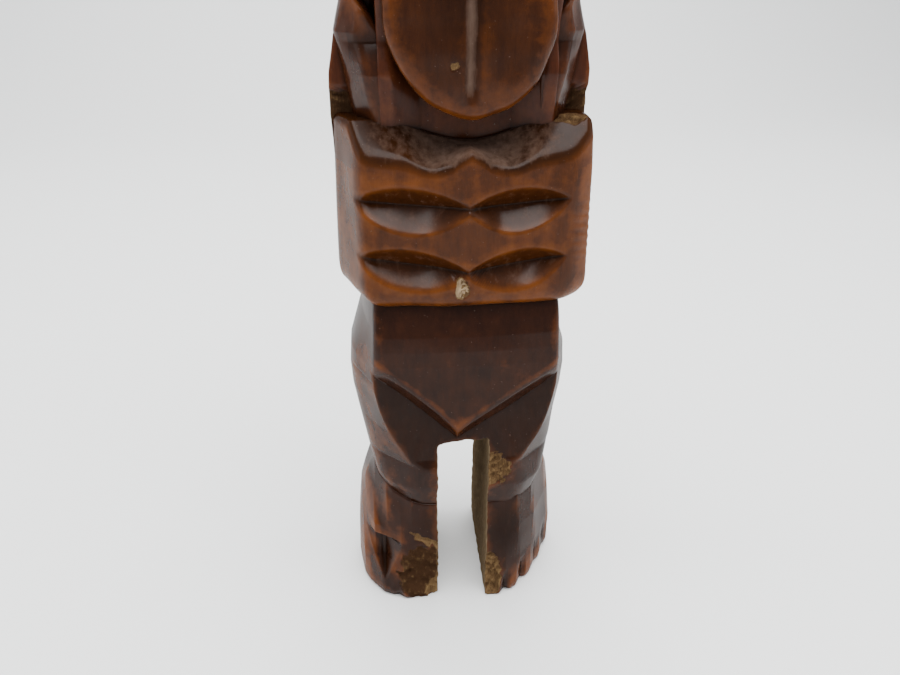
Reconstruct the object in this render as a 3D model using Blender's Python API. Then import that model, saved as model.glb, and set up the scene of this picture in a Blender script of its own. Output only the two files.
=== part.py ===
# Carved wooden tiki figure, about 128 mm tall, in metres, +Z up.
# The figure faces -Y; its own left is +X; the origin is under the middle of the feet.
# Each named solid is one carved form of the billet, and the thin gap between two
# neighbours stands for the V-cut that divides them.
from math import cos, pi, radians, sin

import bmesh
import bpy

MM = 0.001

# Driving dimensions, in millimetres.
HEIGHT = 128.0          # sole to crown
HALF_WIDTH = 16.0       # half of the billet, reached by the hands
FRONT = -12.0           # foremost face: tongue and brow
BACK = 12.0             # rearmost face: back, heels and back of the head
GAP = 0.3               # knife cut between neighbouring forms

LEG_GAP = 6.9           # sawn slot between the legs
ANKLE_INNER = 16.2      # crease between leg and foot, at the slot
ANKLE_OUTER = 20.4      # and at the outer side
CROTCH = 27.7           # top of the slot
APRON_TIP = 30.6        # lowest point of the V apron
APRON_END = 39.8        # outer ends of the V
APRON_HALF = 12.0       # and how far out they lie
WAIST = 47.6            # undercut below the hands
SHELF = 69.2            # top of the forearms, at the chest
SHELF_FRONT = 66.8      # and at the front edge
SHOULDER = 84.0
TONGUE_TIP = 71.2
TONGUE_ROOT = 92.0
TONGUE_HALF = 9.1
CHIN = 87.5
NOSE_TIP = 98.2
BROW = 115.4

HAND_FRONT = -11.0
HAND_BACK = -1.0
ARM_FRONT = -8.3
CHEST_FRONT = -6.0
APRON_FRONT = -10.2

# Stain colours, as linear RGB.
STAIN = {
    "head": (0.085, 0.034, 0.014),
    "tongue": (0.120, 0.042, 0.014),
    "torso": (0.060, 0.024, 0.012),
    "arms": (0.075, 0.028, 0.013),
    "hands": (0.160, 0.058, 0.018),
    "legs": (0.062, 0.024, 0.012),
}


def clear_scene():
    for obj in list(bpy.data.objects):
        bpy.data.objects.remove(obj, do_unlink=True)


def lacquered_wood(name, colour):
    material = bpy.data.materials.new(name)
    material.use_nodes = True
    shader = material.node_tree.nodes["Principled BSDF"]
    shader.inputs["Base Color"].default_value = (*colour, 1.0)
    shader.inputs["Roughness"].default_value = 0.32
    shader.inputs["Metallic"].default_value = 0.0
    shader.inputs["Coat Weight"].default_value = 0.5
    return material


def mirrored(points):
    """The same points on the figure's other side."""
    return [(-x, y, z) for x, y, z in points]


def solid(name, rings, colour=None):
    """A closed body through rings of points, which all have the same count."""
    mesh = bpy.data.meshes.new(name)
    bm = bmesh.new()
    loops = [[bm.verts.new((x * MM, y * MM, z * MM)) for x, y, z in ring] for ring in rings]
    for near, far in zip(loops, loops[1:]):
        bmesh.ops.bridge_loops(bm, edges=ring_edges(bm, near) + ring_edges(bm, far))
    bm.faces.new(loops[0])
    bm.faces.new(loops[-1])
    bmesh.ops.recalc_face_normals(bm, faces=bm.faces)
    bm.to_mesh(mesh)
    bm.free()
    obj = bpy.data.objects.new(name, mesh)
    bpy.context.scene.collection.objects.link(obj)
    if colour:
        mesh.materials.append(lacquered_wood(name + "_wood", STAIN[colour]))
    return obj


def ring_edges(bm, loop):
    """The closed chain of edges through a ring's vertices."""
    edges = []
    for a, b in zip(loop, loop[1:] + loop[:1]):
        edges.append(bm.edges.get((a, b)) or bm.edges.new((a, b)))
    return edges


def relief(name, outline, layers, colour=None):
    """A form carved in relief: one front-view outline of (x, z) points, repeated at each
    layer's depth y and pulled in by that layer's inset, which makes bevelled edges."""
    middle_x = (max(x for x, z in outline) + min(x for x, z in outline)) / 2
    middle_z = (max(z for x, z in outline) + min(z for x, z in outline)) / 2
    rings = []
    for depth, inset_x, inset_z in layers:
        ring = []
        for x, z in outline:
            new_x = x - inset_x * sign(x - middle_x)
            new_z = z - inset_z * sign(z - middle_z)
            ring.append((new_x, depth, new_z))
        rings.append(ring)
    return solid(name, rings, colour)


def sign(value):
    return (value > 0.001) - (value < -0.001)


def boolean(obj, tool, operation):
    """Keeps the tool as a hidden guide and applies it as a live Boolean."""
    tool.hide_render = True
    tool.display_type = "WIRE"
    modifier = obj.modifiers.new(tool.name, "BOOLEAN")
    modifier.operation = operation
    modifier.object = tool


def gouge(obj, start, end, half_height, depth):
    """A boat-shaped knife cut in a front face, from start to end, each (x, y, z)."""
    steps = 8
    rings = []
    for i in range(steps + 1):
        t = i / steps
        spread = max(sin(pi * t), 0.06)
        x, y, z = (a + (b - a) * t for a, b in zip(start, end))
        lift = half_height * spread
        rings.append([(x, y - 1.0, z + lift * 1.6), (x, y - 1.0, z - lift * 1.6),
                      (x, y + depth * spread, z)])
    boolean(obj, solid(obj.name + "_cut_%d" % len(obj.modifiers), rings), "DIFFERENCE")


def notch(obj, x, y, turn, low, high, half_width, depth):
    """An upright V cut into a front edge, as between two toes."""
    rings = []
    for z in (low, high):
        ring = []
        for across, inward in ((-half_width * 2, -depth), (half_width * 2, -depth), (0, depth)):
            ring.append((x + across * cos(turn) - inward * sin(turn),
                         y + across * sin(turn) + inward * cos(turn), z))
        rings.append(ring)
    boolean(obj, solid(obj.name + "_cut_%d" % len(obj.modifiers), rings), "DIFFERENCE")


def build_foot(name, side):
    inner = LEG_GAP / 2
    levels = [
        # plan points as (x, y), and the height at the inner and the outer side
        ([(inner, BACK - 0.4), (inner, -10.2), (8.0, -8.9), (12.2, -6.2), (15.0, -2.4),
          (15.6, 8.6), (13.2, BACK)], 0.0, 0.0),
        ([(inner, BACK - 0.4), (inner, -9.6), (7.8, -8.4), (11.8, -6.0), (14.8, -2.4),
          (15.4, 8.6), (13.0, BACK)], 6.0, 7.5),
        ([(inner, BACK - 0.8), (inner, -8.4), (7.4, -7.8), (11.0, -6.4), (14.2, -2.8),
          (14.8, 8.2), (12.6, BACK - 0.6)], 12.5, 15.6),
        ([(inner, BACK - 1.6), (inner, -7.6), (7.0, -7.2), (10.0, -6.2), (12.0, -3.4),
          (12.4, 7.6), (11.0, BACK - 1.6)], ANKLE_INNER, ANKLE_OUTER),
    ]
    rings = []
    for plan, low, high in levels:
        ring = []
        for x, y in plan:
            across = (x - inner) / (12.4 - inner)
            ring.append((x, y, low + (high - low) * min(across, 1.0)))
        rings.append(ring)
    if side < 0:
        rings = [mirrored(ring) for ring in rings]
    foot = solid(name, rings, "legs")
    for x, y, degrees in ((6.0, -9.6, 16), (9.2, -8.2, 28), (12.2, -6.1, 42)):
        notch(foot, side * x, y, side * radians(degrees), -1.0, 5.6, 0.55, 1.0)
    return foot


def under_apron(x):
    """Height of the thighs' upper end, just under the V line of the apron."""
    return min(APRON_TIP + (APRON_END - APRON_TIP) * x / APRON_HALF, APRON_END) - GAP


def build_leg(name, side):
    inner = LEG_GAP / 2
    levels = [
        # plan points as (x, y), and how far up the leg the level lies
        ([(inner, 10.2), (inner, -7.8), (8.4, -7.8), (11.4, -4.6), (12.0, 7.2), (10.6, 10.2)], 0.0),
        ([(inner, 10.8), (inner, -9.4), (8.2, -9.4), (12.0, -5.6), (13.2, 8.0), (11.4, 10.8)], 0.30),
        ([(inner, 11.2), (inner, -8.7), (9.6, -8.7), (13.2, -5.6), (14.4, 8.2), (12.0, 11.2)], 0.62),
        ([(inner, 11.4), (inner, -8.5), (11.4, -8.5), (14.4, -5.2), (15.0, 8.4), (12.6, 11.4)], 1.0),
    ]
    rings = []
    for plan, height in levels:
        ring = []
        for x, y in plan:
            across = min((x - inner) / (12.0 - inner), 1.0)
            low = ANKLE_INNER + (ANKLE_OUTER - ANKLE_INNER) * across + GAP
            ring.append((x, y, low + (under_apron(x) - low) * height))
        rings.append(ring)
    if side < 0:
        rings = [mirrored(ring) for ring in rings]
    leg = solid(name, rings, "legs")
    # Above the slot the thighs run in to meet on the middle.
    near, far = GAP / 2, inner + 0.4
    crotch = [(side * near, CROTCH), (side * far, CROTCH), (side * far, under_apron(far)),
              (side * near, under_apron(near))]
    boolean(leg, relief(name + "_crotch", crotch, [(-8.4, 0.0, 0.0), (10.6, 0.0, 0.0)]), "UNION")
    return leg


def build_hips():
    outline = [(0.0, APRON_TIP), (APRON_HALF, APRON_END), (15.1, APRON_END), (13.2, 45.0),
               (12.6, WAIST), (-12.6, WAIST), (-13.2, 45.0), (-15.1, APRON_END),
               (-APRON_HALF, APRON_END)]
    layers = [(APRON_FRONT, 2.4, 0.0), (APRON_FRONT + 3.4, 0.0, 0.0), (BACK - 3.0, 0.0, 0.0),
              (BACK - 0.6, 2.6, 0.0)]
    return relief("hips", outline, layers, "legs")


def build_torso():
    slab = [(12.4, WAIST + GAP), (HALF_WIDTH - 0.1, 53.0), (HALF_WIDTH - 0.1, 77.0), (14.4, 82.4),
            (10.0, SHOULDER + 0.4), (-10.0, SHOULDER + 0.4), (-14.4, 82.4),
            (-HALF_WIDTH + 0.1, 77.0), (-HALF_WIDTH + 0.1, 53.0), (-12.4, WAIST + GAP)]
    layers = [(HAND_BACK + GAP, 0.0, 0.0), (BACK - 4.0, 0.0, 0.0), (BACK - 0.4, 4.2, 0.6)]
    torso = relief("torso", slab, layers, "torso")
    chest_outline = [(9.2, SHELF + GAP), (9.2, 80.0), (7.6, SHOULDER), (-7.6, SHOULDER), (-9.2, 80.0),
                     (-9.2, SHELF + GAP)]
    chest = relief("torso_chest", chest_outline, [(CHEST_FRONT, 0.0, 0.0), (HAND_BACK + 3.0, 0.0, 0.0)])
    boolean(torso, chest, "UNION")
    return torso


def build_upper_arm(name, side):
    outline = [(9.2 + GAP, SHELF + 1.0), (13.3, SHELF + 1.0), (14.8, 78.6), (14.0, 82.2), (12.2, 83.6),
               (9.2 + GAP, 80.4)]
    rings = []
    for depth, inset in ((ARM_FRONT, 1.0), (ARM_FRONT + 2.4, 0.0), (HAND_BACK, 0.0)):
        ring = []
        for x, z in outline:
            outer = inset if x > 13.0 else 0.0
            ring.append((side * (x - outer), depth, z - (inset if z > 82.0 else 0.0)))
        rings.append(ring)
    return solid(name, rings, "arms")


def build_hand(name, side):
    inner = GAP / 2
    corner = 4.2
    lower = WAIST + GAP
    outline = [(inner, lower)]
    for i in range(4):
        angle = -pi / 2 + pi / 2 * i / 3
        outline.append((HALF_WIDTH - corner + corner * cos(angle), lower + corner + corner * sin(angle)))
    outline.append((HALF_WIDTH, SHELF))
    outline.append((inner, SHELF))
    rings = []
    for depth, inset, top in ((HAND_FRONT, 2.6, SHELF_FRONT), (HAND_FRONT + 1.2, 1.2, SHELF_FRONT + 0.9),
                              (HAND_FRONT + 4.4, 0.0, SHELF), (HAND_BACK, 0.0, SHELF)):
        ring = []
        for x, z in outline:
            outer = inset if x > HALF_WIDTH / 2 else 0.0
            lift = inset * 0.3 if z < lower + corner / 2 else 0.0
            ring.append((side * (x - outer), depth, min(z, top) + lift))
        rings.append(ring)
    hand = solid(name, rings, "hands")
    for height in (61.0, 53.4):
        inner = (side * 0.6, HAND_FRONT, height - 0.2)
        gouge(hand, inner, (side * 12.6, HAND_FRONT, height + 0.3), 1.3, 1.3)
    gouge(hand, (side * 1.2, HAND_FRONT, SHELF_FRONT + 0.2), (side * 11.6, HAND_FRONT, SHELF_FRONT + 0.4),
          1.2, 1.4)
    return hand


def build_tongue():
    outline = [(TONGUE_HALF, TONGUE_ROOT), (TONGUE_HALF, 81.0)]
    steps = 12
    for i in range(steps + 1):
        angle = pi * i / steps
        drop = sin(angle) ** 0.9 * (80.0 - TONGUE_TIP)
        outline.append((TONGUE_HALF * cos(angle), 80.0 - drop))
    outline += [(-TONGUE_HALF, 81.0), (-TONGUE_HALF, TONGUE_ROOT)]
    layers = [(FRONT + 0.3, 0.9, 0.6), (FRONT + 1.2, 0.0, 0.0), (CHEST_FRONT - GAP, 0.0, 0.0)]
    tongue = relief("tongue", outline, layers, "tongue")
    groove = [[(-0.9, FRONT - 0.6, z), (0.9, FRONT - 0.6, z), (0.0, FRONT + 0.9, z)]
              for z in (73.4, TONGUE_ROOT + 1.0)]
    boolean(tongue, solid("tongue_groove", groove), "DIFFERENCE")
    return tongue


def build_head():
    levels = [
        # height, half width, front, back, bevel
        (SHOULDER + 0.4 + GAP, 10.2, -4.6, 9.6, 3.0),
        (CHIN, 12.0, -6.6, 10.6, 3.0),
        (CHIN + 2.6, 14.2, -10.4, 11.6, 3.6),
        (98.0, 15.0, -10.8, BACK, 4.0),
        (111.0, 15.0, -10.8, BACK, 4.0),
        (BROW - 1.0, 15.6, FRONT, BACK, 4.2),
        (BROW + 1.6, 15.4, -11.6, BACK, 4.2),
        (BROW + 2.6, 14.2, -10.2, 11.2, 4.2),
        (BROW + 4.0, 14.8, -10.6, 11.6, 4.4),
        (126.0, 11.6, -8.6, 10.0, 4.6),
        (HEIGHT, 7.6, -5.0, 7.0, 3.2),
    ]
    rings = []
    for z, half, front, back, bevel in levels:
        rings.append([(half, front + bevel, z), (half, back - bevel, z), (half - bevel, back, z),
                      (bevel - half, back, z), (-half, back - bevel, z), (-half, front + bevel, z),
                      (bevel - half, front, z), (half - bevel, front, z)])
    head = solid("head", rings, "head")
    # A ledge under the brow and a socket on each side leave the nose standing.
    for side, word in ((1, "left"), (-1, "right")):
        socket = [(side * 2.6, 112.2), (side * 15.0, 113.0), (side * 17.0, 107.0), (side * 11.0, 103.0),
                  (side * 4.4, 103.0)]
        boolean(head, relief("socket_" + word, socket, [(FRONT - 2.0, 0.0, 0.0), (-9.4, 0.6, 0.6)]),
                "DIFFERENCE")
    nose = [(-2.1, 112.6), (2.1, 112.6), (3.1, 104.2), (5.2, NOSE_TIP + 3.0), (5.2, NOSE_TIP + 1.2),
            (4.4, NOSE_TIP), (-4.4, NOSE_TIP), (-5.2, NOSE_TIP + 1.2), (-5.2, NOSE_TIP + 3.0),
            (-3.1, 104.2)]
    boolean(head, relief("nose", nose, [(FRONT, 1.2, 0.4), (FRONT + 1.6, 0.0, 0.0), (-8.0, 0.0, 0.0)]),
            "UNION")
    for side in (1, -1):
        gouge(head, (side * 5.6, -10.8, 101.6), (side * 13.8, -10.0, 96.6), 1.0, 1.2)
    gouge(head, (-13.0, -10.7, 93.6), (13.0, -10.7, 93.6), 1.9, 2.6)
    # The room for the tongue, from below up into the mouth.
    room = TONGUE_HALF + GAP
    mouth = [(room, CHIN - 6.0), (room, TONGUE_ROOT + GAP), (-room, TONGUE_ROOT + GAP),
             (-room, CHIN - 6.0)]
    boolean(head, relief("mouth", mouth, [(FRONT - 2.0, 0.0, 0.0), (CHEST_FRONT + 0.4, 0.0, 0.0)]),
            "DIFFERENCE")
    return head


def main():
    clear_scene()
    for word, side in (("left", 1), ("right", -1)):
        build_foot("foot_" + word, side)
        build_leg("leg_" + word, side)
        build_hand("hand_" + word, side)
        build_upper_arm("upper_arm_" + word, side)
    build_hips()
    build_torso()
    build_tongue()
    build_head()


main()
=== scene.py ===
from math import pi, radians

import bpy
import numpy as np
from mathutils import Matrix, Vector


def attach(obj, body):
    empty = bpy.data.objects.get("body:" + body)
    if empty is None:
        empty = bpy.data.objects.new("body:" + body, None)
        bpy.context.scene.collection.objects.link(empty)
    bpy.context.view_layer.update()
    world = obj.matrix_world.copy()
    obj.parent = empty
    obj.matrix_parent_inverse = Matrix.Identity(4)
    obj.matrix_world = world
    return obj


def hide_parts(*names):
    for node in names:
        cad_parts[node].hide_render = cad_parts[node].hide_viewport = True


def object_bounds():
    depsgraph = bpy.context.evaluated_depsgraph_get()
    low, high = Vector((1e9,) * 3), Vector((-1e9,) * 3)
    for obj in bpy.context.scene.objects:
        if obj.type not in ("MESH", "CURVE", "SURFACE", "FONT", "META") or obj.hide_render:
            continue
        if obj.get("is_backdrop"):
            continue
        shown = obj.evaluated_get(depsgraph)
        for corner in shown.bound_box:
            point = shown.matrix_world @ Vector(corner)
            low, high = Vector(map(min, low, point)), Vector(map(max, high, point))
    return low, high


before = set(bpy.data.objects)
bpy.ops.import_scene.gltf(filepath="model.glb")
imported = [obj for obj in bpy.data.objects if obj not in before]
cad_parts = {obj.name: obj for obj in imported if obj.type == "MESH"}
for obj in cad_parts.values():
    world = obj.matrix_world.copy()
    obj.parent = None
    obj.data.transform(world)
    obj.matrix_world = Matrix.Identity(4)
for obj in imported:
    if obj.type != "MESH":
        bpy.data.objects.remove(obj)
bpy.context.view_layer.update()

# A wooden tiki, carved from one billet. Lengths here are millimetres; x is 0 on the
# middle, the figure looks along -y, and its own left side is +x.
mm = 0.001


def blendMax(a, b, r):
    # the larger of a and b, rounded over the width r where they are about equal
    h = np.clip(0.5 + 0.5 * (a - b) / r, 0, 1)
    return b + (a - b) * h + r * h * (1 - h)


def allOf(r, *cuts):
    # inside every cut at once: the rounded maximum of them all
    total = cuts[0]
    for cut in cuts[1:]:
        total = blendMax(total, cut, r)
    return total


def anyOf(r, *lumps):
    # inside any of the lumps: the rounded minimum of them all
    return -allOf(r, *[-lump for lump in lumps])


def facet(p, at, towards):
    # signed distance to a flat knife cut through the point at, whose waste side is towards
    n = np.array(towards, float) / np.linalg.norm(towards)
    return (p[0] - at[0]) * n[0] + (p[1] - at[1]) * n[1] + (p[2] - at[2]) * n[2]


def along(v, *stops):
    # straight-line interpolation of the stops (position, value) at v
    return np.interp(v, [s[0] for s in stops], [s[1] for s in stops])


def ramp(v, start, end):
    # 0 at start, 1 at end, straight in between and held beyond
    return np.clip((v - start) / (end - start), 0, 1)


def hump(v, middle, halfWidth):
    # 1 at the middle, falling on a cosine to 0 at halfWidth on either side
    t = np.clip(np.abs(v - middle) / halfWidth, 0, 1)
    return 0.5 + 0.5 * np.cos(pi * t)


def wobble(p, size, seed):
    # sum of ten sine waves in seeded directions, wavelengths about size; roughly -1 to 1
    rng = np.random.default_rng(seed)
    total = 0
    for _ in range(10):
        k = rng.normal(size=3)
        k *= 2 * pi / (size * rng.uniform(0.6, 1.5) * np.linalg.norm(k))
        total = total + np.sin(k[0] * p[0] + k[1] * p[1] + k[2] * p[2] + rng.uniform(0, 2 * pi))
    return total / 4.5


def ball(p, centre, radii):
    # stretched distance to an ellipsoid: negative inside it
    q = sum(((p[i] - centre[i]) / radii[i]) ** 2 for i in range(3))
    return (np.sqrt(q) - 1) * min(radii)


def torn(p, centre, radii, *roughness):
    # above 0 in a torn place: an ellipsoid whose wall is roughened by wobbles of a given
    # (height, size, seed)
    total = -ball(p, centre, radii)
    for height, size, seed in roughness:
        total = total + height * wobble(p, size, seed)
    return total


def boat(x, z, start, end, halfHeight, sharp=0.75, rim=0.10):
    # how far a point of the front view is into a boat-shaped gouge between two (x, z) ends:
    # 0 at its outline, 1 on its keel amidships, falling straight from keel to gunwale and
    # easing off within the width rim of it; the keel sags and the lower wall is the wider
    ax, az = start
    bx, bz = end
    t = (x - ax) / (bx - ax)
    keel = az + (bz - az) * t - 0.45 * np.sin(pi * np.clip(t, 0, 1))
    halfHeight = np.where(z < keel, 1.12, 1.0) * halfHeight
    span = np.sin(pi * np.clip(t, 0, 1)) ** sharp
    into = np.clip(span - np.abs(z - keel) / halfHeight, 0, 1)
    return into * into / (into + rim)


def carve(name, wood, centre, core, reach, around, upwards, frontShare=0.0):
    # Rays start on a small ellipsoid (radii core) round the centre, point outwards like its
    # sphere directions (turn, climb), and each grid point is where its ray leaves the wood.
    # frontShare crowds the rays towards the front.
    turn = np.linspace(-pi, pi, around, endpoint=False)
    theta = -pi / 2 + turn - frontShare * np.sin(turn)
    climb = np.linspace(-pi / 2, pi / 2, upwards + 2)[1:-1]
    t, c = np.meshgrid(theta, climb)
    way = np.stack([np.cos(c) * np.cos(t), np.cos(c) * np.sin(t), np.sin(c)]).reshape(3, -1)
    way = np.concatenate([way, [[0, 0], [0, 0], [-1, 1]]], axis=1)
    start = np.array(centre, float)[:, None] + np.array(core, float)[:, None] * way
    step = 0.5
    inner = np.zeros(way.shape[1])
    for s in np.arange(step, reach, step):
        inner = np.where(wood(start + s * way) < 0, s, inner)
    outer = inner + step
    for _ in range(12):
        middle = (inner + outer) / 2
        inside = wood(start + middle * way) < 0
        inner = np.where(inside, middle, inner)
        outer = np.where(inside, outer, middle)
    points = start + inner * way
    row = np.arange(upwards - 1)[:, None] * around
    col = np.arange(around)[None, :]
    nxt = (col + 1) % around
    quads = np.stack([row + col, row + nxt, row + around + nxt, row + around + col], -1).reshape(-1, 4)
    last = (upwards - 1) * around
    low = np.stack([np.full(around, upwards * around), nxt[0], col[0]], -1)
    high = np.stack([np.full(around, upwards * around + 1), last + col[0], last + nxt[0]], -1)
    return meshFrom(name, points, quads, np.concatenate([low, high]))


def meshFrom(name, points, quads, tris):
    # a smooth mesh object from points in millimetres, one column each, and two arrays of faces
    mesh = bpy.data.meshes.new(name)
    mesh.vertices.add(points.shape[1])
    mesh.vertices.foreach_set("co", (points.T * mm).astype(np.float32).ravel())
    mesh.loops.add(quads.size + tris.size)
    mesh.loops.foreach_set("vertex_index", np.concatenate([quads.ravel(), tris.ravel()]).astype(np.int32))
    starts = np.concatenate([np.arange(len(quads)) * 4, quads.size + np.arange(len(tris)) * 3])
    mesh.polygons.add(len(starts))
    mesh.polygons.foreach_set("loop_start", starts.astype(np.int32))
    mesh.update(calc_edges=True)
    mesh.validate()
    mesh.shade_smooth()
    obj = bpy.data.objects.new(name, mesh)
    bpy.context.scene.collection.objects.link(obj)
    return obj


def paint(obj, attribute, values):
    # one number from 0 to 1 on every point, for the lacquers to read
    layer = obj.data.attributes.new(attribute, "FLOAT", "POINT")
    layer.data.foreach_set("value", np.clip(values, 0, 1).astype(np.float32))


def pointsOf(obj):
    # the mesh's points in millimetres, one column each
    flat = np.empty(len(obj.data.vertices) * 3, np.float32)
    obj.data.vertices.foreach_get("co", flat)
    return flat.reshape(-1, 3).T.astype(float) / mm


lower = dict(slot=(-3.95, 3.05), slotTop=27.7, apronTip=(-1.3, 30.6), apronEnd=(12.2, 39.7), waist=47.6,
             corner=-1.2, round=1.1)


def chamfer(ax, y, frontX, frontY, sideX, sideY):
    # flat cut that runs in plan from the front edge (frontX, frontY) to the side (sideX, sideY)
    dx, dy = sideX - frontX, sideY - frontY
    return ((ax - frontX) * dy - (y - frontY) * dx) / np.hypot(dx, dy)


def lowerBillet(p):
    # legs and hips before the V is cut: side, front and long side chamfers whose places follow z
    x, y, z = p
    ax = np.abs(x)
    width = along(z, (14, 11.3), (16.5, 11.9), (19.5, 12.9), (26.5, 14.1), (33, 15.2), (36, 15.4),
                  (39, 15.2), (44.5, 13.5), (48.2, 13.1), (51, 12.8)) - 0.55 * (x > 0)
    frontY = along(z, (14, -7.6), (17, -8.3), (20.5, -9.4), (23.5, -9.9), (30, -10.1), (40, -10.4),
                   (42, -10.25), (44, -9.95), (46, -9.4), (48, -8.7), (51, -8.0)) + 0.004 * x * x
    edge = along(z, (16, 10.0), (20, 11.0), (25, 11.4), (29.3, 10.9), (35.6, 12.0), (40, 12.2), (48, 11.9))
    knee = along(z, (16, 7.1), (20, 7.8), (24, 6.6), (27, 8.0), (30.5, 9.8), (36, 12.6), (40, 14.0))
    front = frontY - y
    bevel = chamfer(ax, y, edge, frontY + 1.2, width, lower["corner"])
    kneeCut = 0.66 * (ax - knee) - 0.75 * (y - frontY)
    backY = along(z, (14, 10.6), (22, 10.4), (27, 10.6), (31, 11.7), (38, 11.8), (45, 10.9), (49, 10.6)) \
        - 0.9 * hump(x, 0, 2.4) * hump(z, 33, 11)
    backBevel = 0.72 * (ax - 9.6) + 0.70 * (y - backY)
    return allOf(lower["round"], ax - width, front, bevel, kneeCut, y - backY, backBevel)


def apronLine(x, z):
    # height above the V line, which is straight on the figure's left and bowed on its right
    tipX, tipZ = lower["apronTip"]
    endX, endZ = lower["apronEnd"]
    d = x - tipX
    run = np.where(d > 0, endX - tipX, -endX - tipX)
    t = np.clip(np.abs(d / run), 0, 1.6)
    rise = endZ - tipZ + np.where(d < 0, 0.7, 0)
    line = tipZ + rise * (t + np.where(d < 0, 0.08, 0.02) * np.sin(pi * np.clip(t, 0, 1)))
    return z - line


def thighScoop(p):
    # the hollow under the apron: a shallow bowl behind the plane of the front, deepest against
    # the V line and running out at the knee, with faint flutes across it
    x, y, z = p
    ax = np.abs(x)
    base = along(z, (20, -11.4), (23, -10.1), (25, -9.3), (30, -8.7), (36, -8.3), (40, -8.2))
    flutes = 0.025 * np.cos(2 * pi * (ax + 0.45 * z) / 2.4)
    return base + 0.35 * hump(ax, 7.5, 6) * hump(z, 30, 7) + flutes - y


def hipsWood(p):
    # the billet above the V line, sawn off at the waist; below the line it runs on inside the
    # thighs
    x, y, z = p
    body = lowerBillet(p) + 0.10 * wobble(p, 9, 11) * hump(y, -10, 8)
    vCut = (-1.5 * np.clip(y + 10.4 - 0.004 * x * x, 0, 2.2) - apronLine(x, z)) * 0.55
    within = allOf(0.2, thighScoop(p) + 0.03, 36.5 - z)
    under = np.minimum(vCut, within)
    top = z - lower["waist"] - 0.8
    return allOf(0.45, body, under, top)


def creaseHeight(x, y, s):
    # where the leg meets the foot: level in front, climbing to the outer side
    ax = s * x
    return along(ax, (2, 16.7), (6, 17.0), (9.8, 18.1), (11.6, 19.4), (12.8, 20.8), (16, 22.0)) \
        + 0.05 * np.clip(y + 4, 0, 12)


def sawCut(p, s):
    # the sawn slot between the legs: everything inside it and below its top goes
    x, y, z = p
    slot = lower["slot"][1] if s > 0 else -lower["slot"][0]
    wall = slot + 0.08 * wobble(p, 2.0, 5) + 0.02 * (y + 10) - s * x
    roof = lower["slotTop"] + 0.35 * wobble(p, 1.6, 6) - z
    return -blendMax(-wall, -roof, 1.2 if s < 0 else 0.4)


def legWood(s):
    def wood(p):
        # the billet between crease and waist, scooped in front, less the sawn slot; it hides
        # inside the hips above and the foot below
        x, y, z = p
        tuck = 0.03 * ramp(z, 36.5, 36.7) + 0.4 * np.clip(z - 39.4, 0, 4)
        body = lowerBillet(p) + 0.10 * wobble(p, 9, 11) * hump(y, -10, 8)
        foot = creaseHeight(x, y, s) - 1.6 - z
        hidden = apronLine(x, z) * 0.7 - 0.5 - 0.5 * np.clip(y + 8.4, 0, 6)
        chips = kneeChip(p) if s > 0 else np.full(p.shape[1], -1.0)
        form = allOf(0.25, body + tuck, thighScoop(p), foot, z - 41.0, hidden, -s * x - 0.4)
        return allOf(0.12, form, sawCut(p, s), chips)
    return wood


def kneeChip(p):
    # torn wood on the inner edge of one knee: inside a rough ball that bites the corner
    return torn(p, (3.4, -11.4, 23.4), (4.0, 2.6, 5.4), (0.20, 1.3, 8), (0.10, 0.5, 18)) - 0.1


# plan curves of the feet as (distance from the middle, y), from the sole up; cuts between
# the toes as (distance from the middle, height, half width, depth)
feet = {
    1: dict(levels=((0, ((3, -10.4), (6.1, -9.5), (8.5, -7.9), (11.4, -4.6), (14.6, 1.6), (16.2, 8))),
                    (6, ((3, -10.0), (6.1, -9.0), (8.5, -7.4), (11.3, -4.4), (14.7, 1.6), (16.2, 8))),
                    (12, ((3, -8.9), (8.0, -8.0), (10.8, -5.2), (14.2, 1.6), (15.6, 8))),
                    (16.6, ((3, -8.4), (7.6, -7.9), (10.2, -5.2), (13.4, 1.4), (14.8, 8))),
                    (21, ((3, -7.8), (7.6, -7.2), (10.0, -4.4), (12.4, 0.4), (14, 8)))),
            cuts=((6.1, 4.6, 0.9, 0.9), (8.9, 5.2, 0.9, 1.0), (11.6, 6.4, 1.0, 0.9), (13.7, 7.0, 0.9, 0.7)),
            broad=15.3),
    -1: dict(levels=((0, ((3, -10.2), (8.9, -9.3), (12.0, -7.7), (15.0, -3.7), (15.9, 1.0), (17, 8))),
                     (6, ((3, -9.8), (8.9, -8.9), (12.3, -7.1), (14.8, -3.7), (15.8, 1.0), (17, 8))),
                     (12, ((3, -8.9), (9.3, -8.4), (13.1, -5.6), (15.3, 1.5), (16.5, 8))),
                     (16.6, ((3, -8.4), (7.6, -8.2), (11.2, -5.9), (14.3, 1.0), (15.6, 8))),
                     (21, ((3, -7.9), (7.4, -7.9), (10.4, -5.5), (12.8, 0.0), (14.4, 8)))),
             cuts=((7.0, 3.4, 0.9, 0.4), (9.8, 3.8, 0.8, 0.4), (15.2, 5.0, 1.0, 0.8)),
             broad=15.6),
}
pocket = dict(at=11.8, low=3.0, high=9.8, half=2.1, depth=1.9)   # chip-cut between two toes


def planCurve(ax, z, levels):
    # the front of the foot at each height: straight-line blend of the two plan curves around it
    total = 0
    heights = [h for h, _ in levels]
    for i, (h, curve) in enumerate(levels):
        share = np.interp(z, heights, [1.0 if j == i else 0.0 for j in range(len(levels))])
        total = total + share * along(ax, *curve)
    return total


def toePocket(ax, z):
    # depth of a three-sided chip: widest under its flat top, running out at its lowest point
    spread = ramp(z, pocket["low"], pocket["high"])
    across = np.clip(1.15 - np.abs(ax - pocket["at"]) / (0.15 + pocket["half"] * spread), 0, 1)
    roof = ramp(z, pocket["high"] + 0.8, pocket["high"])
    return pocket["depth"] * across * roof * np.clip(spread * 2, 0, 1)


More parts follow.
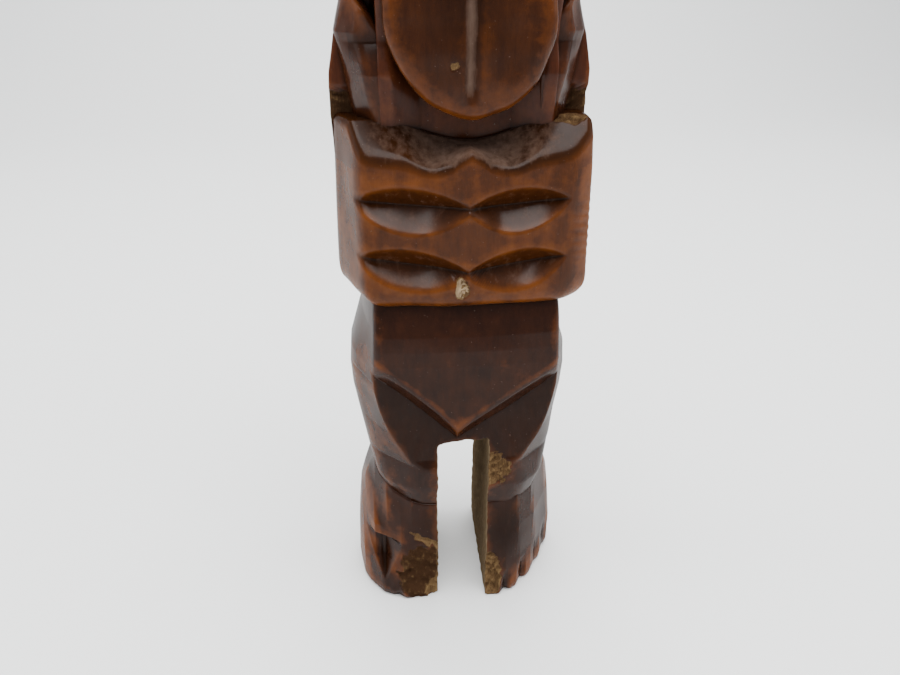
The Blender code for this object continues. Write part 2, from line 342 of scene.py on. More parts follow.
def footWood(s):
    look = feet[s]

    def wood(p):
        # a boot: stacked plan curves, a flared side, a sawn inner face, and short V cuts that
        # leave rounded toes standing
        x, y, z = p
        ax = s * x
        cuts = 0
        for cut, height, half, depth in look["cuts"]:
            v = np.clip(1 - np.abs(ax - cut) / half, 0, 1)
            cuts = cuts + depth * v * ramp(z, height, height - 3.2)
        if s < 0:
            cuts = cuts + toePocket(ax, z)
        toeRound = 0.7 * ramp(z, 1.8, 0) ** 2
        front = (planCurve(ax, z, look["levels"]) + cuts + toeRound - y) * 0.8
        broad = look["broad"]
        side = ax - along(z, (-1, broad - 0.3), (2, broad + 0.1), (9, broad - 0.2), (13.5, broad - 0.6),
                          (16.3, broad - 1.4), (20.5, 12.7), (24, 10.6))
        heel = y - along(z, (-1, 11.9), (5, 12.0), (12, 11.5), (17, 10.8), (21, 10.0))
        heelBevel = 0.7 * (ax - 10.6) + 0.71 * (y - 9.0) - 1.4 + 0.2 * np.clip(z - 14, 0, 8)
        top = z - creaseHeight(x, y, s)
        form = allOf(0.9, front, side, heel, heelBevel) + 0.07 * wobble(p, 6, 31 + s)
        return allOf(0.14, form, top, sawCut(p, s), 0.02 - z, footChips(p, s))
    return wood


def toeBreak(p):
    # one broken inner toe: a wide shallow bite out of the front
    return torn(p, (-6.6, -13.1, 4.8), (6.8, 5.1, 8.2), (0.30, 2.0, 9), (0.10, 0.6, 19))


def toeCorner(p):
    # fresh wood at its corner by the slot, and a scrape over the instep
    corner = torn(p, (-3.6, -11.1, 1.0), (3.2, 3.4, 4.6), (0.20, 1.2, 10))
    slanting = (p[0], p[1], p[2] + 0.5 * (p[0] + 6.4))
    scrape = -ball(slanting, (-6.4, -10.6, 11.2), (4.2, 2.2, 1.3)) + 0.18 * wobble(p, 1.6, 29)
    return np.maximum(corner, scrape)


def innerToe(p):
    # the other foot's inner toe, splintered from top to sole
    return torn(p, (3.2, -11.9, 3.8), (3.5, 3.5, 6.6), (0.25, 1.4, 9), (0.10, 0.5, 19))


def footChips(p, s):
    return innerToe(p) if s > 0 else np.maximum(toeBreak(p), toeCorner(p))


hands = dict(front=-10.9, side=(15.95, 15.15), edge=(12.9, 12.8), sideStart=(-0.6, -7.4), low=47.9,
             corner=(3.5, 3.4), depth=2.5,
             gouges=(((-14.4, 61.8), (0.5, 60.6), 2.85), ((-0.5, 60.6), (12.2, 61.5), 2.75),
                     ((-14.2, 54.9), (0.3, 52.7), 2.75), ((-0.5, 52.7), (12.0, 54.4), 2.75)))


def gouges(x, z):
    # 0 on the fingers' front, up to 1 on the keels of the four boat gouges
    cut = 0
    for start, end, high in hands["gouges"]:
        bite = boat(x, z, start, end, high)
        cut = np.maximum(cut, bite * (1.3 - 0.3 * bite))
    return cut


def shelfTop(x, y):
    # height of the shelf: its front edge is two shallow arcs that meet in a peak on the middle,
    # and behind it the wood climbs to the chest and, more steeply, to the elbows
    ax = np.abs(x - 0.1)
    edge = 66.1 + 1.3 * np.clip(1 - ax / 2.2, 0, 1) - 0.6 * hump(ax, 4.6, 3.6)
    back = 67.7 + 2.6 * (1 - hump(ax, 0, 11.5))
    t = np.clip((y - hands["front"]) / 4.8, 0, 1)
    return edge + (back - edge) * t - 0.5 * np.sin(pi * t) * hump(ax, 4.6, 3.6)


def handWood(s):
    def wood(p):
        # half of the block: crowned front, long soft side chamfer, round lower corner, and the
        # shelf on top
        x, y, z = p
        ax = s * x
        i = 0 if s < 0 else 1
        wide = hands["side"][i] + 0.15 * hump(z, 60, 9) + 0.03 * np.clip(62 - z, 0, 12)
        edge = hands["edge"][i]
        r = hands["corner"][i]
        roll = 1.7 * ramp(z, 51.4, 47.7) ** 2.2
        front = (hands["front"] + 0.006 * x * x + roll + hands["depth"] * gouges(x, z) - y) * 0.8
        bevelY, sideY = hands["front"] + 0.9, hands["sideStart"][i]
        bevel = chamfer(ax, y, edge, bevelY, wide, sideY)
        local = np.minimum(wide, edge + (y - bevelY) * (wide - edge) / (sideY - bevelY))
        away = np.hypot(np.maximum(ax - local + r, 0), np.maximum(hands["low"] + r - z, 0)) - r
        ribs = 0.04 * np.sin(2 * pi * (z + 0.3 * y) / 1.15) * ramp(ax, 12, 14) * hump(z, 57, 7) * (s > 0)
        form = allOf(1.5, front, bevel)
        form = allOf(0.7, form, away, ax - wide) + ribs
        form = allOf(0.9, form, (z - shelfTop(x, y)) * 0.8)
        form = form + 0.07 * wobble(p, 7, 41) + 0.10 * np.clip(-ax, 0, 3)
        return allOf(0.12, form, -ax - 1.2, y - 2.5, handChip(p, s))
    return wood


def handChip(p, s):
    # a nick under the lower gouges, cut into both halves, and one worn and chipped elbow
    nick = torn(p, (-0.9, -10.9, 50.7), (0.8, 0.7, 1.5), (0.12, 1.0, 3))
    if s < 0:
        return nick
    return np.maximum(nick, torn(p, (11.4, -6.8, 71.4), (4.6, 3.2, 1.8), (0.25, 1.6, 13)))


arms = {1: dict(inner=7.9, wide=-0.7), -1: dict(inner=9.1, wide=0.0)}


def armFront(z):
    # y of the upper arm's front: it swells to the elbow's ridge, with a scooped facet above
    return along(z, (62, -6.0), (70, -6.6), (75.2, -7.9), (76.6, -7.7), (78.6, -6.7), (81, -7.2),
                 (84, -8.3))


def armWood(s):
    arm = arms[s]

    def wood(p):
        # upper arm: plain front below, a scooped facet above it, an outer chamfer, and the
        # slanting shoulder ridge on top
        x, y, z = p
        ax = s * x
        frontY = armFront(z)
        inner = arm["inner"] - ax + 0.25 * (y + 8)
        outerX = along(z, (66, 12.7), (70.6, 13.3), (79.6, 15.0), (83, 14.2), (85, 13.0)) + arm["wide"]
        bevel = chamfer(ax, y, outerX - 2.6, frontY, outerX, -2.6)
        ridge = facet((ax, y, z), (arm["inner"] + 0.3, -8.0, 79.5), (-0.74, -0.12, 0.66))
        roof = facet((ax, y, z), (12.9, -6.0, 83.6), (0.25, -0.30, 0.92))
        form = allOf(0.8, frontY - y, inner, ax - outerX, bevel, ridge, roof)
        return allOf(0.2, form + 0.06 * wobble(p, 5, 51 + s), y - 3, 66.4 - z)
    return wood


body = dict(step=-1.8, back=11.4, chest=-5.2, chestHalf=10.2, groove=1.1, grooveHalf=2.6,
            roof=(0.42, -0.10, 0.90))


def torsoWood(p):
    # a full-width slab behind the arms with a chest standing in front of it
    x, y, z = p
    ax = np.abs(x)
    side = ax + 0.45 * (x > 0) - along(z, (47, 12.6), (48.6, 13.4), (52, 15.4), (70, 15.9),
                                       (75, 15.8), (79, 15.1), (83, 13.9), (86, 12.4))
    rough = 1.0 + 0.3 * wobble(p, 1.3, 61) + 0.2 * wobble(p, 0.6, 63)
    frontStep = body["step"] + torsoPit(z) * rough - y
    roof = facet((ax, y, z), (12.6, 0.0, 83.9), body["roof"])
    back = y - body["back"] - along(z, (47, -1.0), (52, -0.1), (62, -0.1), (74, 0.3), (80, 0), (85, -1.2))
    backBevel = 0.62 * (ax - 11.0) + 0.78 * (y - body["back"])
    shoulder = 0.75 * (ax - 13.6) + 0.66 * (y - 8.4)
    groove = body["groove"] * hump(x, 0, body["grooveHalf"]) * ramp(z, 82, 76) - (11.6 - y)
    slab = allOf(0.4, side, frontStep, back, backBevel, shoulder, roof, groove)
    slab = np.maximum(slab + 0.08 * wobble(p, 8, 62), 46.9 - z)
    chestY = body["chest"] + (armFront(z) + 5.1) * ramp(ax, 5.4, 8.8) + 0.03 * (72 - z) * (z > 72)
    chest = allOf(0.5, chestY - y, ax - body["chestHalf"], z - 88.5, 62.0 - z, y - 2)
    return anyOf(0.5, slab, chest)


def torsoPit(z):
    # 1 in the rough recess above the elbows, 0 above it
    return ramp(z, 73.2, 72.5)


def pitWood(p):
    # the torn floor of that recess
    inside = np.minimum(torsoPit(p[2]) - 0.5, p[2] - 69.2)
    return np.minimum(inside, 1.6 - np.abs(p[1] + 1.2)) + 0.2 * wobble(p, 1.0, 64)


tongue = dict(root=90.2, half=9.35, bend=81.5, drop=10.9, full=1.9, front=-11.7, trough=0.5, troughWide=1.2)


def tongueWood(p):
    # a plate with a full-round end (a superellipse), crowned across, rounded at the rim and
    # rolled back into the mouth, with a trough down its middle that fades out before the tip
    x, y, z = p
    n = tongue["full"]
    lean = x + 0.05 * (z - 80)
    below = np.maximum(tongue["bend"] - z, 0) / tongue["drop"]
    outline = (np.abs(lean / tongue["half"]) ** n + below ** n + 1e-9) ** (1 / n)
    rim = (outline - 1) * 8.4 + 0.14 * wobble(p, 6, 73)
    middle = 0.15 + 0.02 * (z - 80)
    trough = tongue["trough"] * ramp(z, 72.3, 74.1) * hump(x, middle, tongue["troughWide"])
    crown = 0.5 * (x / 9) ** 4 + 0.6 * ramp(z, 77, 71) ** 2 \
        + 0.5 * np.clip(z - tongue["root"], 0, 3) ** 2
    front = tongue["front"] + crown + trough + 0.08 * wobble(p, 5, 71) - y
    bevel = 0.74 * (rim + 0.55) + 0.67 * front
    form = allOf(0.9, rim, front, bevel)
    return allOf(0.12, form, y + 4.5, z - 93.0, tongueNick(p))


def tongueNick(p):
    # a small pale nick beside the trough
    return torn(p, (-2.0, -11.9, 76.6), (0.55, 0.4, 0.5), (0.06, 0.7, 72))


face = dict(browTop=115.3, eyeX=8.3, eyeZ=107.0, eyeTilt=0.12, eyeHalf=5.0, eyeHigh=2.8, nostril=5.4,
            noseTip=-12.4, mouthZ=92.4, mouthHalf=12.2, lip=1.5, strands=26, earZ=104.5)


def headWood(p):
    # a tall block with chamfered corners: brow, nose and lips stand from a plane that is cut
    # back round the eyes and the mouth, with ears, a headband groove and hair cuts
    x, y, z = p
    ax = np.abs(x)
    width = along(z, (84, 10.4), (86.4, 11.2), (88.6, 13.4), (92, 14.6), (104, 15.1), (112, 15.1),
                  (116, 15.3), (118, 14.8), (123, 13.2), (127, 9.4), (129, 6.0))
    front = along(z, (84, -4.8), (87.2, -6.4), (88.4, -9.0), (90, -9.9), (97, -9.9), (112, -9.7),
                  (116, -10.6), (121, -9.8), (125, -8.2), (128, -5.0)) - y
    back = y - along(z, (84, 9.4), (89, 11.0), (96, 11.8), (114, 11.9), (120, 11.2), (125, 8.8), (128, 5.0))
    corner = 0.74 * (ax - width + 2.6) - 0.67 * (y + 10.2)
    backCorner = 0.72 * (ax - width + 3.0) + 0.70 * (y - 11.0)
    block = allOf(0.6, ax - width, front, back, corner, backCorner, z - 127.9, 84.3 - z)

    browZ = face["browTop"] - 2.6 + 0.16 * ax
    brow = allOf(0.6, np.abs(z - browZ - 1.0) - 1.8, -11.9 + 0.009 * ax * ax - y, ax - width + 0.1,
                 corner - 0.5, y - 2)
    wide = face["nostril"]
    noseHalf = along(z, (98.0, wide - 0.6), (99.4, wide), (101.4, wide - 0.4), (104, 3.1), (112, 2.1),
                     (114, 2.1))
    noseFront = along(z, (97, -11.4), (99.4, face["noseTip"]), (101, face["noseTip"]), (104, -11.6),
                      (108, -11.2), (113, -11.6)) + 0.028 * ax * ax
    nose = allOf(0.6, ax - noseHalf, noseFront - y, 98.1 + 0.07 * ax - z, z - 113.5, y - 2)
    # height above the middle of the mouth, in units of its half height: 1 on the lips' edge
    arch = face["mouthZ"] - 0.010 * x * x
    opening = np.sqrt(np.clip(1 - (x / face["mouthHalf"]) ** 2, 0.0001, 1))
    mouthV = (z - arch) / (2.3 * opening)
    lipV = np.abs(z - arch) - (2.2 + face["lip"]) * opening - 0.3
    lips = allOf(0.5, lipV, ax - face["mouthHalf"] - 1.2, -11.5 + 0.010 * ax * ax - y, corner, y - 2)
    block = anyOf(0.35, block, brow, nose, lips)

    # sockets, with almond eyes and their lids left standing in them; uncut is a front so far
    # forward that it removes nothing
    uncut = -20
    tilt = z - face["eyeZ"] - face["eyeTilt"] * (ax - face["eyeX"])
    u, v = (ax - face["eyeX"]) / 6.2, tilt / 4.5
    socket = 2.4 * np.clip(1.15 - np.sqrt(u * u + v * v), 0, 0.45) / 0.45
    across = (ax - face["eyeX"]) / face["eyeHalf"]
    eyeV = tilt / (face["eyeHigh"] * np.clip(1 - across * across, 0.05, 1))
    eye = 1.9 * (np.clip(2.4 - 2.4 * np.abs(eyeV), 0, 1) * np.clip(5 - 5 * np.abs(across), 0, 1)) ** 0.6
    lid = 0.5 * np.clip(1 - np.abs(np.abs(eyeV) - 0.58) / 0.16, 0, 1) * ramp(np.abs(across), 0.75, 0.35)
    sockets = (-10.1 + socket - eye + lid) - y
    sockets = np.where((z < browZ - 0.4) & (ax > 2.2) & (z > 101.4), sockets, uncut)

    mouth = -11.6 + 4.4 * np.clip((1 - np.abs(mouthV)) * 2.6, 0, 1)
    mouth = np.where(np.abs(x) < face["mouthHalf"], mouth, uncut) - y
    lineX = along(z, (91, 14.9), (96, 12.8), (100.4, 8.8), (102.6, 6.6))
    smile = -10.4 + 1.6 * np.clip(1 - np.abs(ax - lineX) / 1.2, 0, 1) * hump(z, 97.6, 6) - y
    smile = np.where(np.abs(z - 97.6) < 6, smile, uncut)
    nostrils = -12.3 + 1.5 * np.clip(1 - np.hypot(ax - 2.6, (z - 99.2) * 1.5) / 1.1, 0, 1) - y
    nostrils = np.where(np.hypot(ax - 2.6, z - 99.2) < 1.6, nostrils, uncut)

    bandGap = 1.0 * hump(z, 118.2, 1.0)
    turn = np.arctan2(y - 0.5, x) * face["strands"] / (2 * pi)
    strand = np.abs((turn % 1) - 0.5) * 2
    hair = 0.75 * np.clip(1 - strand * 2.6, 0, 1) * ramp(z, 118.6, 119.8) * ramp(z, 127, 124)
    rear = 0.6 * np.clip(1 - strand * 3.2, 0, 1) * ramp(y, 4, 8) * ramp(z, 90, 93) * ramp(z, 117, 115)
    # each ear is a raised ring with a sunk middle and a ditch round it
    ear = np.hypot((y + 0.4) / 3.1, (z - face["earZ"]) / (5.8 - 0.4 * np.sign(z - face["earZ"])))
    earCut = 0.9 * hump(ear, 0.25, 0.5) + 0.7 * hump(ear, 1.32, 0.3)
    form = block + bandGap + hair + rear + earCut * (ax > 12) + 0.06 * wobble(p, 8, 81)
    room = allOf(0.2, ax - 9.35, z - 92.6, y + 5.6)
    return allOf(0.25, form, sockets, mouth, smile, nostrils, -room)


plans = {
    # node: (wood, centre, core radii, reach, points around, points upwards, front share)
    "head": (headWood, (0, 0.5, 106.5), (7, 4, 16), 24, 460, 205, 0.45),
    "tongue": (tongueWood, (0, -8.6, 81.5), (5, 0.8, 6), 14, 330, 190, 0.35),
    "torso": (torsoWood, (0, 3, 66), (8, 3, 13), 22, 340, 190, 0.30),
    "hips": (hipsWood, (0, 0.5, 41.8), (9, 6.5, 3.6), 20, 400, 190, 0.40),
}
for word, s in (("left", 1), ("right", -1)):
    plans["upper_arm_" + word] = (armWood(s), (s * 11.2, -3.6, 75), (1, 1.6, 5), 12, 200, 170, 0.35)
    plans["hand_" + word] = (handWood(s), (s * 7.4, -4.4, 58), (6.0, 3.2, 8.4), 15, 440, 215, 0.50)
    plans["leg_" + word] = (legWood(s), (s * 8.6, 1.0, 27.5), (2, 4, 6), 19, 300, 200, 0.40)
    plans["foot_" + word] = (footWood(s), (s * 9.2, 1.5, 8), (3, 5, 3), 19, 360, 190, 0.45)

# the pieces whose wood counts with each piece's own when its creases and hollows are felt, so that joins
# and places under overhanging pieces get painted shade
neighbours = {
    "head": ("tongue", "torso", "upper_arm_left", "upper_arm_right"),
    "tongue": ("head", "torso", "upper_arm_left", "upper_arm_right"),
    "torso": ("head", "tongue", "upper_arm_left", "upper_arm_right", "hand_left", "hand_right", "hips"),
    "hips": ("leg_left", "leg_right", "hand_left", "hand_right", "torso"),
}
for word in ("left", "right"):
    neighbours["upper_arm_" + word] = ("torso", "tongue", "hand_" + word, "head")
    neighbours["hand_" + word] = ("torso", "hips", "upper_arm_" + word, "tongue",
                                  "hand_right" if word == "left" else "hand_left")
    neighbours["leg_" + word] = ("hips", "foot_" + word)
    neighbours["foot_" + word] = ("leg_" + word,)

# broken places: (field, how fresh the wood there is)
chips = {
    "leg_left": ((kneeChip, 0.60),),
    "foot_left": ((innerToe, 0.65),),
    "foot_right": ((toeBreak, 0.0), (toeCorner, 0.92)),
    "hand_right": ((lambda p: handChip(p, -1), 1.2),),
    "hand_left": ((lambda p: handChip(p, 1), 0.50),),
    "torso": ((pitWood, -0.1),),
    "tongue": ((tongueNick, 1.0),),
}

# how strong the extra darkening (stain, and painted shade in some hollows), the grey film (dust, and
# painted sheen) and the lightening (wear, and painted light on the chest) are at each point; 0 to 1, and
# held there
stainsAndShade = {
    "tongue": lambda p: 0.55 * hump(p[0], -0.6, 8.5) * ramp(p[2], 72.5, 79.5) * (p[1] < -9),
    "torso": lambda p: torsoPit(p[2]) * ramp(p[1], -4, -2) * ramp(p[1], 3, 1),
    "hips": lambda p: 0.1 * np.clip(-apronLine(p[0], p[2]) * 2, 0, 1) * (p[1] < -7.5),
    # the first term darkens the chip-cut pocket between two toes: painted shadow
    "foot_right": lambda p: np.maximum(0.45 * hump(p[0], -11.8, 2.4) * hump(p[2], 6.5, 5),
                                       0.6 * hump(p[0], -5.5, 4) * hump(p[2], 13, 6)) * (p[1] < -5),
    "foot_left": lambda p: 0.9 * hump(p[0], 5.5, 6) * hump(p[2], 11, 11) * (p[1] < -5),
}
dustsAndSheen = {
    # a pale streak down the tongue's trough: painted highlight, with dust in the groove
    "tongue": lambda p: hump(p[0], -0.2 + 0.02 * (p[2] - 80), 1.1) * ramp(p[2], 72.6, 74.6)
    * (p[1] < -9),
}
wearsAndLight = {
    # lighter over the chest below the tongue: painted light that lifts the chest out of the tongue's shadow
    "torso": lambda p: 1.1 * hump(p[0], 0, 13) * hump(p[2], 70, 9) * (p[1] < -4),
    "foot_left": lambda p: 0.6 * ramp(p[2], 6, 2) * (p[0] > 6.5) * (p[1] < -2),
    "hips": lambda p: (0.55 * hump(apronLine(p[0], p[2]), 0.3, 0.9)
                       + 0.35 * hump(p[0], -1.3, 3.2) * hump(p[2], 31, 3.6)) * (p[1] < -9.2)
    + 0.5 * ramp(np.abs(p[0]), 12, 13.5) * (p[1] < 0),
    "foot_right": lambda p: 0.25 * hump(p[0], -11, 3.4) * hump(p[2], 13, 6) * (p[1] < 0),
}
for word in ("left", "right"):
    # darker in the gouges, and much darker over the shelf: painted shade where the head and tongue overhang
    # it
    stainsAndShade["hand_" + word] = lambda p: np.maximum(
        0.5 * np.clip(gouges(p[0], p[2]) * 3, 0, 1) * (p[1] < -7),
        1.1 * np.clip((p[2] - shelfTop(p[0], p[1])) + 1.3, 0, 1))
    # a grey film over the shelf, strongest in the middle: painted sheen that also lifts the middle out of
    # the tongue's shadow; and over the gouges, painted sheen on their walls
    dustsAndSheen["hand_" + word] = lambda p: np.maximum(
        np.clip(p[2] - shelfTop(p[0], p[1]) + 0.8, 0, 1) * along(np.abs(p[0]), (2, 1.2), (12, 0.25)),
        0.25 * np.clip(gouges(p[0], p[2]) * 3, 0, 1) * (p[1] < -7))
    # darker over the hollow under the apron: painted shade
    stainsAndShade["leg_" + word] = lambda p: 0.6 * np.clip(1 + thighScoop(p) / 0.25, 0, 1)
    stainsAndShade["upper_arm_" + word] = lambda p: 0.7 * hump(p[2], 78.4, 2.6) * (p[1] < -5)
    wearsAndLight["hand_" + word] = lambda p: (0.3 * ramp(p[2], 51.2, 48.2)
                                       + 0.3 * hump(p[2], 64.2, 1.4) * (p[1] < -9.5)
                                       + 0.5 * ramp(np.abs(p[0]), 12.8, 13.8) * (p[1] < 0) * (p[2] < 65))
    wearsAndLight["leg_" + word] = lambda p: 0.55 * ramp(np.abs(p[0]), 11.5, 13) * (p[1] < 0)


feel = dict(fine=0.45, broad=1.9)   # how far round a point its ridge and its swell are felt


def roundabout(p, wood, radius):
    # mean of the field over the eight corners of a cube round each point, per radius: above 0
    # on ridges, 0 on flats, below 0 in hollows
    ways = [(i, j, k) for i in (-1, 1) for j in (-1, 1) for k in (-1, 1)]
    total = 0
    for w in ways:
        n = np.array(w, float) / np.linalg.norm(w)
        total = total + wood(p + radius * n[:, None])
    return total / len(ways) / radius


def markWearAndShade(obj, node):
    # ridges wear; creases and hollows, also those closed in by the neighbouring pieces, keep the stain and
    # the dirt and are painted darker as shade; chips show bare wood
    p = pointsOf(obj)
    own = plans[node][0]

    def together(q):
        total = own(q)
        for other in neighbours[node]:
            total = np.minimum(total, plans[other][0](q))
        return total

    fine = roundabout(p, together, feel["fine"])
    broad = roundabout(p, together, feel["broad"])
    paint(obj, "ridge", fine * 2.6)
    paint(obj, "swell", broad * 2.4)
    paint(obj, "crease", -fine * 2.4)
    nothing = np.zeros(p.shape[1])
    stain, dustAndSheen, wearAndLight = (table[node](p) if node in table else nothing for table in (stainsAndShade, dustsAndSheen, wearsAndLight))
    # the hollow attribute takes the concave measure and the extra darkening: partly stain and dirt, partly
    # painted shade
    paint(obj, "hollow", np.maximum(-broad * 1.5, stain))
    paint(obj, "dustAndSheen", dustAndSheen)
    paint(obj, "wearAndLight", wearAndLight)
    bare, fresh = np.zeros(p.shape[1]), np.zeros(p.shape[1])
    for field, freshness in chips.get(node, ()):
        inside = np.clip((field(p) + 0.12) / 0.14, 0, 1)
        bare = np.maximum(bare, inside)
        fresh = np.maximum(fresh, inside * freshness)
    paint(obj, "bare", bare)
    paint(obj, "fresh", fresh)
    saw = np.full(p.shape[1], -1.0)
    if node.startswith(("leg", "foot")):
        saw = sawCut(p, 1 if node.endswith("left") else -1)
    paint(obj, "sawn", (saw + 0.20) / 0.16)


pieces = {}
for node, (wood, centre, core, reach, around, upwards, share) in plans.items():
    obj = carve(node + "_carving", wood, centre, core, reach, around, upwards, share)
    markWearAndShade(obj, node)
    pieces[node] = obj
    low, high = pointsOf(obj).min(1), pointsOf(obj).max(1)
    print("carved", node, np.round(low, 1), np.round(high, 1))


class Wire:
    # one output socket; arithmetic on it adds Math nodes
    def __init__(self, tree, socket):
        self.tree = tree
        self.socket = socket

    def node(self, kind, settings=None, inputs=None, out=0):
        # any node: its settings first, then the values or links of its sockets
        made = self.tree.nodes.new(kind)
        for key, value in (settings or {}).items():
            setattr(made, key, value)
        for key, value in (inputs or {}).items():
            if isinstance(value, Wire):
                self.tree.links.new(value.socket, made.inputs[key])
            else:
                made.inputs[key].default_value = value
        return Wire(self.tree, made.outputs[out])

    def maths(self, operation, a, b=0.0, clamp=False):
        return self.node("ShaderNodeMath", {"operation": operation, "use_clamp": clamp}, {0: a, 1: b})

    def __add__(self, other):
        return self.maths("ADD", self, other)

    def __sub__(self, other):
        return self.maths("SUBTRACT", self, other)

    def __rsub__(self, other):
        return self.maths("SUBTRACT", other, self)

    def __mul__(self, other):
        return self.maths("MULTIPLY", self, other)

    def clamped(self):
        return self.maths("ADD", self, 0.0, clamp=True)

    __radd__ = __add__
    __rmul__ = __mul__


def mixColour(factor, a, b):
    # a where the factor is 0, b where it is 1
    return factor.node("ShaderNodeMix", {"data_type": "RGBA"}, {0: factor, 6: a, 7: b}, out=2)


def rgb(r, g, b):
    # display values from 0 to 255 as a linear colour
    linear = [v / 255 / 12.92 if v < 10 else ((v / 255 + 0.055) / 1.055) ** 2.4 for v in (r, g, b)]
    return (*linear, 1.0)


looks = {
    "head": dict(stain=rgb(36, 17, 9), warm=rgb(58, 29, 12), worn=rgb(92, 48, 18), age=0.35),
    "tongue": dict(stain=rgb(38, 18, 8), warm=rgb(60, 30, 11), worn=rgb(92, 47, 15), age=0.50),
    # the torso's colours are lighter than the arms' to lift the chest out of the tongue's shadow: painted
    # light
    "torso": dict(stain=rgb(48, 23, 13), warm=rgb(72, 36, 19), worn=rgb(92, 48, 22), age=0.25),
    "arms": dict(stain=rgb(38, 18, 10), warm=rgb(58, 29, 14), worn=rgb(84, 44, 18), age=0.30),
    "hands": dict(stain=rgb(48, 24, 9), warm=rgb(72, 36, 12), worn=rgb(98, 52, 16), age=0.45),
    "legs": dict(stain=rgb(29, 14, 8), warm=rgb(47, 23, 11), worn=rgb(88, 46, 17), age=0.28),
}


def carvedWood(name, stain, warm, worn, age):
    # lacquered wood: clouds of two stains, worn ridges with painted light where the wear attribute asks,
    # dirt and painted shade in the hollows, then a grey film of dust and painted sheen, torn wood and sawn
    # wood over them
    material = bpy.data.materials.new(name)
    material.use_nodes = True
    tree = material.node_tree
    shader = tree.nodes["Principled BSDF"]
    start = Wire(tree, tree.nodes.new("ShaderNodeTexCoord").outputs["Object"])
    inMm = start.node("ShaderNodeMapping", {}, {"Vector": start, "Scale": (1000, 1000, 1000)})
    fibres = start.node("ShaderNodeMapping", {}, {"Vector": inMm, "Scale": (3.2, 3.2, 0.16)})

    def noise(vector, scale, detail, rough=0.55):
        return start.node("ShaderNodeTexNoise", {}, {"Vector": vector, "Scale": scale, "Detail": detail,
                                                     "Roughness": rough})

    def attribute(which):
        return start.node("ShaderNodeAttribute", {"attribute_name": which}, out=2)

    def above(value, low, high):
        # 0 below low, 1 above high
        return ((value - low) * (1 / (high - low))).clamped()

    cloud = noise(inMm, 0.14, 3)
    mottle = noise(inMm, 0.55, 5, 0.62)
    strokes = start.node("ShaderNodeMapping", {}, {"Vector": inMm, "Scale": (1.1, 1.1, 0.28)})
    smear = noise(strokes, 1.0, 4, 0.6)
    fine = noise(inMm, 5.0, 3, 0.6)
    grain = noise(fibres, 1.0, 4, 0.6)
    ridge, swell = attribute("ridge"), attribute("swell")
    crease, hollow = attribute("crease"), attribute("hollow")
    bare, fresh, sawn = attribute("bare"), attribute("fresh"), attribute("sawn")
    dustAndSheen, rubbedAndLit = attribute("dustAndSheen"), attribute("wearAndLight")

    tone = above(cloud * 0.45 + mottle * 0.3 + smear * 0.45 + (grain - 0.5) * 0.12, 0.42, 0.78)
    colour = mixColour(tone, stain, warm)
    patches = (mottle - 0.5) * 1.5 + (cloud - 0.5) * 1.6
    # ridges and swells wear towards the worn colour; the wear attribute adds real wear and, on the chest,
    # painted light
    wearAndLight = above(ridge * 0.2 + swell * 1.1 + rubbedAndLit * 0.9 + patches + (age - 0.4), 0.25, 1.3)
    colour = mixColour(wearAndLight, colour, worn)
    streak = above(grain, 0.56, 0.78) * 0.22
    colour = mixColour(streak, colour, rgb(20, 10, 5))
    # creases and hollows go towards near-black: partly dirt, partly painted shade in joins and under
    # overhanging pieces
    dirtAndShade = above(crease * 0.7 + hollow * 0.8 + (mottle - 0.5) * 0.6, 0.08, 0.85)
    colour = mixColour(dirtAndShade * 0.8, colour, rgb(20, 10, 5))
    # the grey film: dust, and painted sheen on the shelf and the gouges and a painted highlight in the
    # tongue's trough
    filmAndSheen = above(dustAndSheen + (smear - 0.5) * 1.3 + (mottle - 0.5) * 0.6, 0.30, 1.1) * 0.75
    specks = above(noise(inMm, 2.6, 1), 0.74, 0.80) * 0.45
    colour = mixColour((filmAndSheen + specks).clamped(), colour, rgb(92, 74, 64))
    splinter = above(noise(fibres, 2.4, 5, 0.7), 0.38, 0.66)
    pale = (splinter * 0.45 + ridge * 0.5 + fresh * 0.75 - 0.35).clamped()
    torn = above(bare + (fine - 0.5) * 0.9, 0.45, 0.75)
    bareWood = mixColour(above(fresh, 0.90, 1.0), rgb(130, 104, 71), rgb(178, 154, 122))
    colour = mixColour(torn, colour, mixColour(pale, rgb(58, 40, 27), bareWood))
    cut = above(sawn + (fine - 0.5) * 0.3, 0.45, 0.75) * (1 - torn)
    colour = mixColour(cut, colour, mixColour(splinter, rgb(82, 68, 52), rgb(120, 103, 80)))

    tree.links.new(colour.socket, shader.inputs["Base Color"])
    dull = (0.40 + (mottle - 0.5) * 0.25 + dirtAndShade * 0.15 + torn * 0.4 + cut * 0.4).clamped()
    tree.links.new(dull.socket, shader.inputs["Roughness"])
    gloss = (0.34 - torn * 0.34 - cut * 0.34 - dirtAndShade * 0.14 - filmAndSheen * 0.3).clamped()
    tree.links.new(gloss.socket, shader.inputs["Coat Weight"])
    shader.inputs["Coat Roughness"].default_value = 0.2
    shader.inputs["Coat IOR"].default_value = 1.4
    shader.inputs["Specular IOR Level"].default_value = 0.0
    height = mottle * 0.5 + grain * 0.22 + fine * 0.10 + smear * 0.5 + torn * (splinter * 1.6)
    bump = start.node("ShaderNodeBump", {}, {"Strength": 0.5, "Distance": 0.00022, "Height": height})
    tree.links.new(bump.socket, shader.inputs["Normal"])
    return material


groups = {"head": "head", "tongue": "tongue", "torso": "torso", "hips": "legs"}
for word in ("left", "right"):
    groups.update({"upper_arm_" + word: "arms", "hand_" + word: "hands", "leg_" + word: "legs",
                   "foot_" + word: "legs"})
finishes = {group: carvedWood(group + "_lacquer", **look) for group, look in looks.items()}

for node, obj in pieces.items():
    obj.data.materials.append(finishes[groups[node]])
    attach(obj, "root")
    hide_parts(node)
print("finished", len(pieces), "pieces")


studio = dict(floor=rgb(226, 227, 226), size=3.0, sweepAt=0.35, sweepRound=0.25, sweepHigh=1.2, world=0.75,
              worldTint=(0.93, 0.95, 1.0))


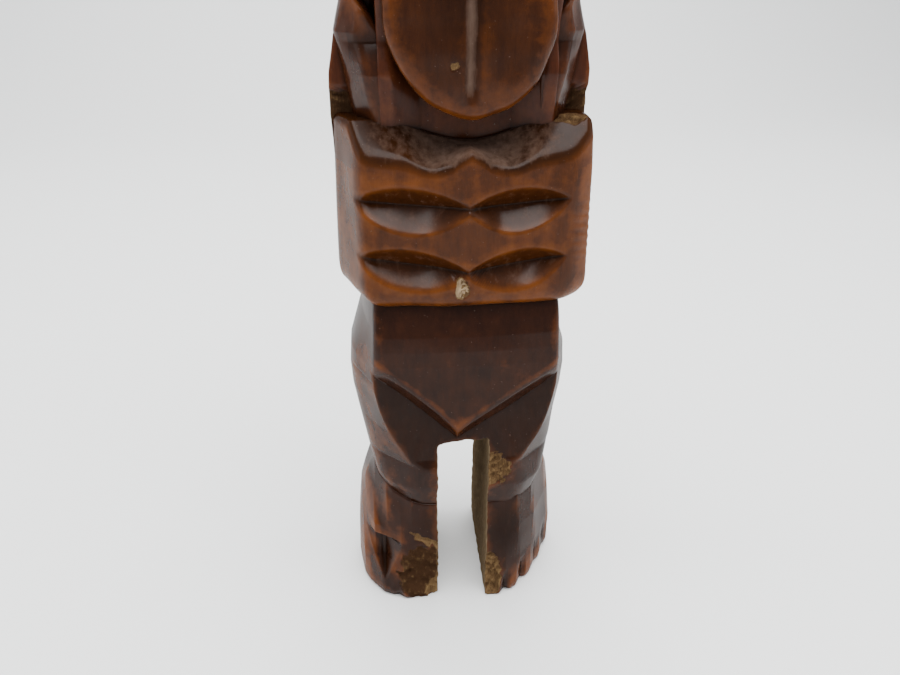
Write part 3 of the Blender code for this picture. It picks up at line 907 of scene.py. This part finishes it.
def sweep():
    # floor and backdrop in one: a profile of a straight, a quarter circle and a straight,
    # carried sideways
    bend = np.linspace(0, pi / 2, 24)
    r, at = studio["sweepRound"], studio["sweepAt"]
    ys = np.concatenate([[-studio["size"]], at + r * np.sin(bend), [at + r]])
    zs = np.concatenate([[0.0], r - r * np.cos(bend), [studio["sweepHigh"]]])
    xs = np.array([-studio["size"], studio["size"]])
    gx, gy = np.meshgrid(xs, ys)
    gz = np.repeat(zs[:, None], 2, 1)
    points = np.stack([gx, gy, gz]).reshape(3, -1) / mm
    row = np.arange(len(ys) - 1)[:, None] * 2
    quads = np.concatenate([row, row + 1, row + 3, row + 2], 1)
    return meshFrom("studio_floor", points, quads, np.zeros((0, 3), int))


floor = sweep()
paper = bpy.data.materials.new("studio_paper")
paper.use_nodes = True
paper.node_tree.nodes["Principled BSDF"].inputs["Base Color"].default_value = studio["floor"]
paper.node_tree.nodes["Principled BSDF"].inputs["Roughness"].default_value = 0.6
floor.data.materials.append(paper)
floor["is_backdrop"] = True

world = bpy.data.worlds.new("studio")
bpy.context.scene.world = world
world.use_nodes = True
world.node_tree.nodes["Background"].inputs["Color"].default_value = (*studio["worldTint"], 1)
world.node_tree.nodes["Background"].inputs["Strength"].default_value = studio["world"]

lamps = (
    # name, place, size, watts
    ("softbox", (0.02, -0.08, 0.50), (0.42, 0.40), 6.7),
    ("back_light", (0.0, 0.40, 0.45), (0.5, 0.4), 2.8),
    ("left_window", (-0.6, 0.05, 0.30), (0.5, 0.5), 1.6),
    ("right_fill", (0.6, 0.05, 0.30), (0.4, 0.5), 1.0),
)
for name, place, size, watts in lamps:
    light = bpy.data.lights.new(name, "AREA")
    light.shape = "RECTANGLE"
    light.size, light.size_y = size
    light.energy = watts
    lamp = bpy.data.objects.new(name, light)
    lamp.location = place
    lamp.rotation_euler = (Vector((0, 0, 0.05)) - Vector(place)).to_track_quat("-Z", "Y").to_euler()
    lamp.visible_camera = False
    bpy.context.scene.collection.objects.link(lamp)

print("studio lit by", len(lamps), "lamps")

view = dict(place=(-10.8, -97.8, 86.4), heading=5.5, down=25.66, lens=31.12)
camera = bpy.data.cameras.new("camera")
camera.lens = view["lens"]
camera.sensor_width = 36
camera.clip_start = 0.005
eye = bpy.data.objects.new("camera", camera)
eye.location = Vector(view["place"]) * mm
eye.rotation_euler = (radians(90 - view["down"]), 0, -radians(view["heading"]))
bpy.context.scene.collection.objects.link(eye)
bpy.context.scene.camera = eye

low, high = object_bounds()
